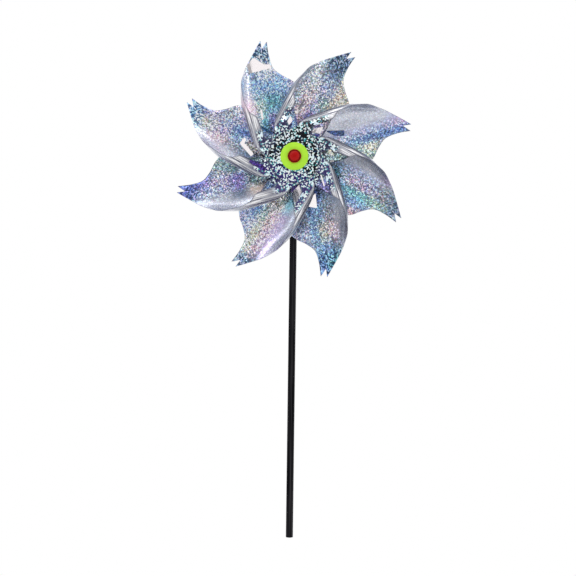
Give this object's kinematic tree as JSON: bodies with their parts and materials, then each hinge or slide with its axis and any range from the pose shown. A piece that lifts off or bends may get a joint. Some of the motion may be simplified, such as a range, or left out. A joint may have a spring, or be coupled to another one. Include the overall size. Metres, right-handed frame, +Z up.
{
  "type": "pinwheel",
  "caption": "Pinwheel: a wheel of curled, fork-tipped mirror film petals between green hub discs, spinning on a pin at the top of a black tube stick.",
  "frame": {"origin": "middle of the stick's foot", "axes": "+Z up the stick; the wheel faces -Y and spins about an axle along Y; +X is to the right seen from the front"},
  "size_m": [0.2332, 0.0493, 0.4966],
  "materials": {
    "black_tube": "glossy extruded tube with faint lengthwise lines",
    "black_plastic": "moulded, satin",
    "pin_steel": "drawn wire",
    "red_plastic": "moulded, glossy",
    "green_plastic": "moulded, satin",
    "clear_plastic": "milky, satin",
    "white_plastic": "moulded, glossy",
    "mirror_film": "metallised film with a fine holographic speckle"
  },
  "bodies": {
    "stick": {"stick": "black_tube", "top_holder": "black_plastic", "axle_pin": "pin_steel", "red_cap": "red_plastic"},
    "bead": {"thrust_bead": "white_plastic"},
    "wheel": {"front_disc": "green_plastic", "core_tube": "clear_plastic", "rear_disc": "green_plastic", "petal_1": "mirror_film", "petal_2": "mirror_film", "petal_3": "mirror_film", "petal_4": "mirror_film", "petal_5": "mirror_film", "petal_6": "mirror_film", "petal_7": "mirror_film", "petal_8": "mirror_film"}
  },
  "joints": [
    {"name": "wheel_spin", "type": "hinge", "parent": "stick", "child": "wheel", "pos_m": [0, 0, 0.38], "axis": [0, 1, 0], "continuous": true},
    {"name": "bead_spin", "type": "hinge", "parent": "stick", "child": "bead", "pos_m": [0, 0, 0.38], "axis": [0, 1, 0], "continuous": true}
  ]
}
